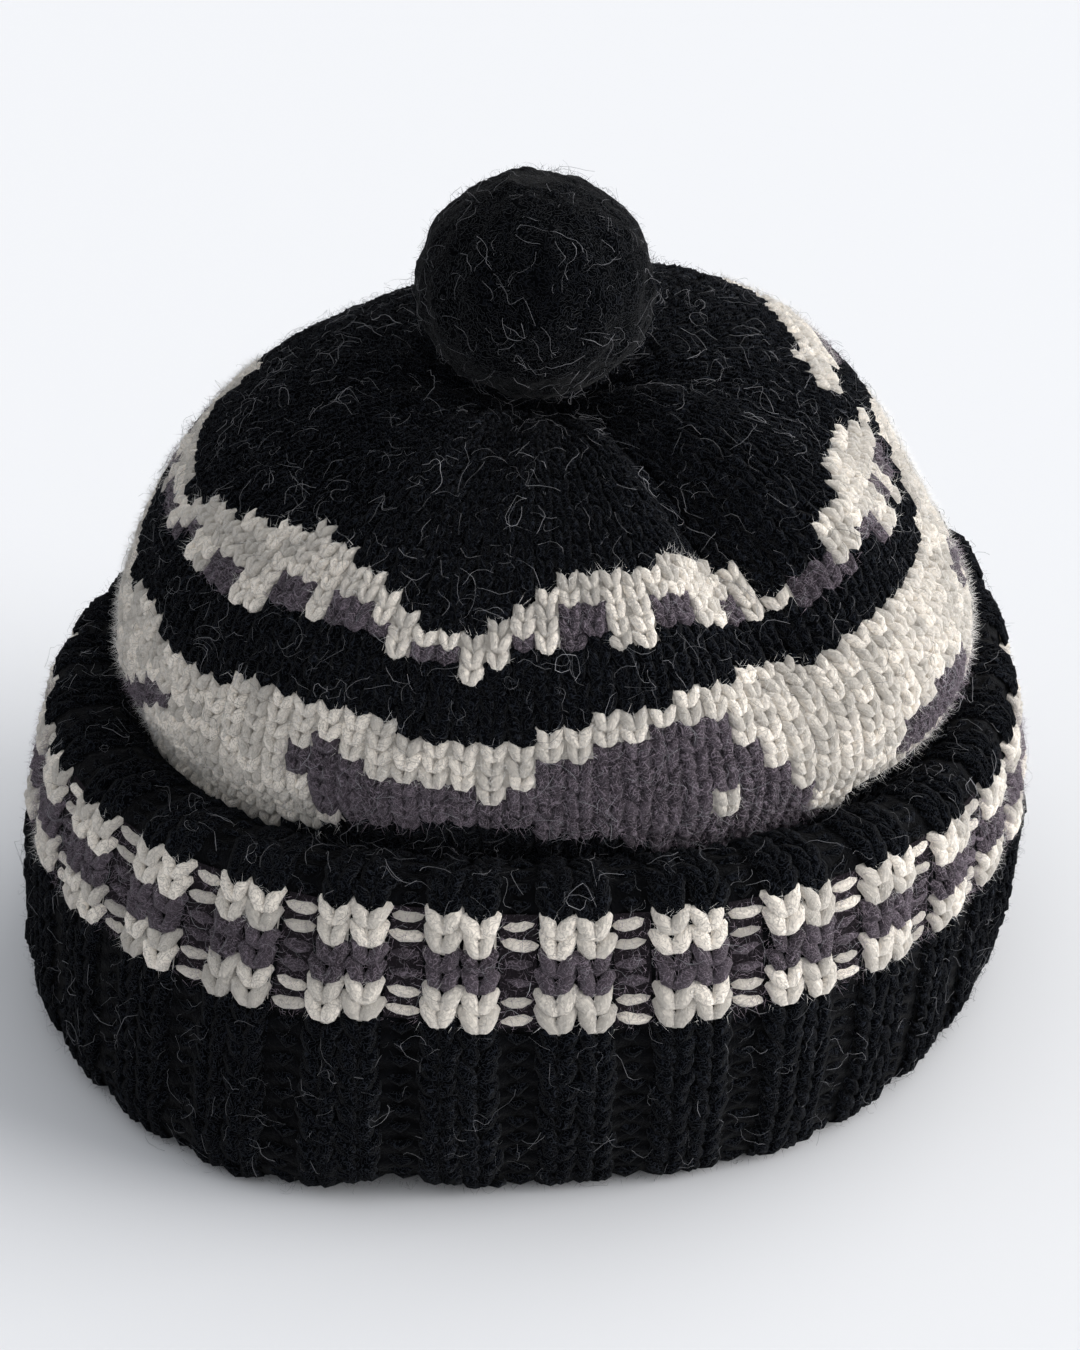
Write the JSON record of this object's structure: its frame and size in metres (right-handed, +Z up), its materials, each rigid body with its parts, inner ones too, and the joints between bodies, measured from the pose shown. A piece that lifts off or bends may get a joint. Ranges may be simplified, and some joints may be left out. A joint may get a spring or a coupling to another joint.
{
  "type": "knit cap with a turned-up ribbed cuff and a pompom",
  "caption": "Soft knitted wool cap: a domed crown with a patterned band, a turned-up ribbed cuff with a stripe, and a round pompom on top.",
  "frame": {"origin": "bottom centre of the cap's box: the middle of its footprint, at the height that its cuff rests on", "axes": "+Z up to the pompom, -Y to the front, +X to the cap's right as it is seen from the front"},
  "size_m": [0.198, 0.19, 0.1621],
  "materials": {
    "black_wool": "felted black wool yarn with a light fuzz",
    "cream_wool": "cream wool yarn",
    "grey_wool": "mauve-grey wool yarn",
    "loose_fibre": "fine stray wool fibres"
  },
  "bodies": {
    "root": {"crown": "black_wool", "cuff": "black_wool", "pompom": "black_wool"}
  },
  "joints": []
}
